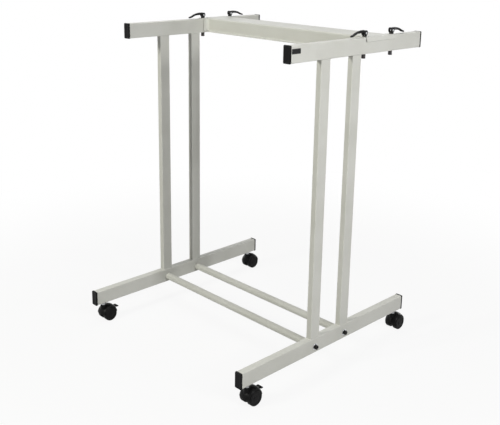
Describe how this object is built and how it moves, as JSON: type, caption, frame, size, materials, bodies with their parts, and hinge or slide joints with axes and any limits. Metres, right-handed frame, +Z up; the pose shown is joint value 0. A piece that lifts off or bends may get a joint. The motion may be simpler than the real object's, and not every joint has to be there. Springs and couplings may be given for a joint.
{
  "type": "plan hanging rack",
  "caption": "Mobile plan hanging rack: steel side frames on twin-wheel castors, joined by a folded cross beam held by cam clamps and by round tubes, with open top rails for plan hangers.",
  "frame": {"origin": "on the floor under the middle of the two base rails", "axes": "+X to the right of a user at the open front, +Y to the rear where the cross beam is, +Z up"},
  "size_m": [0.7942, 0.8034, 1.0731],
  "materials": {
    "paint": "light warm grey powder coat, satin",
    "black_plastic": "moulded black plastic, fine grain",
    "black_steel": "black oxide steel, satin",
    "dark_alloy": "black coated die casting, semi gloss",
    "bright_steel": "bright zinc plated steel"
  },
  "bodies": {
    "frame": {"cross_beam": "paint", "front_cross_tube": "paint", "rear_cross_tube": "paint", "left_base_rail": "paint", "left_top_rail": "paint", "left_front_post": "paint", "left_front_base_cap": "black_plastic", "left_front_top_cap": "black_plastic", "left_front_tube_screw": "black_steel", "left_front_clamp_bolt": "black_steel", "left_front_clamp_cradle": "dark_alloy", "left_front_clamp_barrel": "bright_steel", "left_front_castor_stem": "bright_steel", "left_rear_post": "paint", "left_rear_base_cap": "black_plastic", "left_rear_top_cap": "black_plastic", "left_rear_tube_screw": "black_steel", "left_rear_clamp_bolt": "black_steel", "left_rear_clamp_cradle": "dark_alloy", "left_rear_clamp_barrel": "bright_steel", "left_rear_castor_stem": "bright_steel", "right_base_rail": "paint", "right_top_rail": "paint", "right_front_post": "paint", "right_front_base_cap": "black_plastic", "right_front_top_cap": "black_plastic", "right_front_tube_screw": "black_steel", "right_front_clamp_bolt": "black_steel", "right_front_clamp_cradle": "dark_alloy", "right_front_clamp_barrel": "bright_steel", "right_front_castor_stem": "bright_steel", "right_rear_post": "paint", "right_rear_base_cap": "black_plastic", "right_rear_top_cap": "black_plastic", "right_rear_tube_screw": "black_steel", "right_rear_clamp_bolt": "black_steel", "right_rear_clamp_cradle": "dark_alloy", "right_rear_clamp_barrel": "bright_steel", "right_rear_castor_stem": "bright_steel"},
    "left_front_lever": {"left_front_clamp_lever": "dark_alloy"},
    "left_front_castor": {"left_front_castor_body": "black_plastic"},
    "left_front_left_wheel": {"left_front_castor_left_wheel": "black_plastic"},
    "left_front_right_wheel": {"left_front_castor_right_wheel": "black_plastic"},
    "left_front_brake": {"left_front_brake_tab": "black_plastic"},
    "left_rear_lever": {"left_rear_clamp_lever": "dark_alloy"},
    "left_rear_castor": {"left_rear_castor_body": "black_plastic"},
    "left_rear_left_wheel": {"left_rear_castor_left_wheel": "black_plastic"},
    "left_rear_right_wheel": {"left_rear_castor_right_wheel": "black_plastic"},
    "right_front_lever": {"right_front_clamp_lever": "dark_alloy"},
    "right_front_castor": {"right_front_castor_body": "black_plastic"},
    "right_front_left_wheel": {"right_front_castor_left_wheel": "black_plastic"},
    "right_front_right_wheel": {"right_front_castor_right_wheel": "black_plastic"},
    "right_front_brake": {"right_front_brake_tab": "black_plastic"},
    "right_rear_lever": {"right_rear_clamp_lever": "dark_alloy"},
    "right_rear_castor": {"right_rear_castor_body": "black_plastic"},
    "right_rear_left_wheel": {"right_rear_castor_left_wheel": "black_plastic"},
    "right_rear_right_wheel": {"right_rear_castor_right_wheel": "black_plastic"}
  },
  "joints": [
    {"name": "left_front_lever_turn", "type": "hinge", "parent": "frame", "child": "left_front_lever", "pos_m": [-0.3725, 0.113, 1.0654], "axis": [-1, 0, 0], "range_deg": [0, 90]},
    {"name": "left_front_castor_swivel", "type": "hinge", "parent": "frame", "child": "left_front_castor", "pos_m": [-0.3725, -0.359, 0.07], "axis": [0, 0, 1], "continuous": true},
    {"name": "left_front_left_wheel_roll", "type": "hinge", "parent": "left_front_castor", "child": "left_front_left_wheel", "pos_m": [-0.3725, -0.342, 0.025], "axis": [1, 0, 0], "continuous": true},
    {"name": "left_front_right_wheel_roll", "type": "hinge", "parent": "left_front_castor", "child": "left_front_right_wheel", "pos_m": [-0.3725, -0.342, 0.025], "axis": [1, 0, 0], "continuous": true},
    {"name": "left_front_brake_press", "type": "hinge", "parent": "left_front_castor", "child": "left_front_brake", "pos_m": [-0.3725, -0.32639, 0.03905], "axis": [1, 0, 0], "range_deg": [-14, 0]},
    {"name": "left_rear_lever_turn", "type": "hinge", "parent": "frame", "child": "left_rear_lever", "pos_m": [-0.3725, 0.248, 1.0654], "axis": [1, 0, 0], "range_deg": [0, 90]},
    {"name": "left_rear_castor_swivel", "type": "hinge", "parent": "frame", "child": "left_rear_castor", "pos_m": [-0.3725, 0.359, 0.07], "axis": [0, 0, 1], "continuous": true},
    {"name": "left_rear_left_wheel_roll", "type": "hinge", "parent": "left_rear_castor", "child": "left_rear_left_wheel", "pos_m": [-0.3725, 0.376, 0.025], "axis": [1, 0, 0], "continuous": true},
    {"name": "left_rear_right_wheel_roll", "type": "hinge", "parent": "left_rear_castor", "child": "left_rear_right_wheel", "pos_m": [-0.3725, 0.376, 0.025], "axis": [1, 0, 0], "continuous": true},
    {"name": "right_front_lever_turn", "type": "hinge", "parent": "frame", "child": "right_front_lever", "pos_m": [0.3725, 0.113, 1.0654], "axis": [-1, 0, 0], "range_deg": [0, 90]},
    {"name": "right_front_castor_swivel", "type": "hinge", "parent": "frame", "child": "right_front_castor", "pos_m": [0.3725, -0.359, 0.07], "axis": [0, 0, 1], "continuous": true},
    {"name": "right_front_left_wheel_roll", "type": "hinge", "parent": "right_front_castor", "child": "right_front_left_wheel", "pos_m": [0.3725, -0.342, 0.025], "axis": [1, 0, 0], "continuous": true},
    {"name": "right_front_right_wheel_roll", "type": "hinge", "parent": "right_front_castor", "child": "right_front_right_wheel", "pos_m": [0.3725, -0.342, 0.025], "axis": [1, 0, 0], "continuous": true},
    {"name": "right_front_brake_press", "type": "hinge", "parent": "right_front_castor", "child": "right_front_brake", "pos_m": [0.3725, -0.32639, 0.03905], "axis": [1, 0, 0], "range_deg": [-14, 0]},
    {"name": "right_rear_lever_turn", "type": "hinge", "parent": "frame", "child": "right_rear_lever", "pos_m": [0.3725, 0.248, 1.0654], "axis": [1, 0, 0], "range_deg": [0, 90]},
    {"name": "right_rear_castor_swivel", "type": "hinge", "parent": "frame", "child": "right_rear_castor", "pos_m": [0.3725, 0.359, 0.07], "axis": [0, 0, 1], "continuous": true},
    {"name": "right_rear_left_wheel_roll", "type": "hinge", "parent": "right_rear_castor", "child": "right_rear_left_wheel", "pos_m": [0.3725, 0.376, 0.025], "axis": [1, 0, 0], "continuous": true},
    {"name": "right_rear_right_wheel_roll", "type": "hinge", "parent": "right_rear_castor", "child": "right_rear_right_wheel", "pos_m": [0.3725, 0.376, 0.025], "axis": [1, 0, 0], "continuous": true}
  ]
}
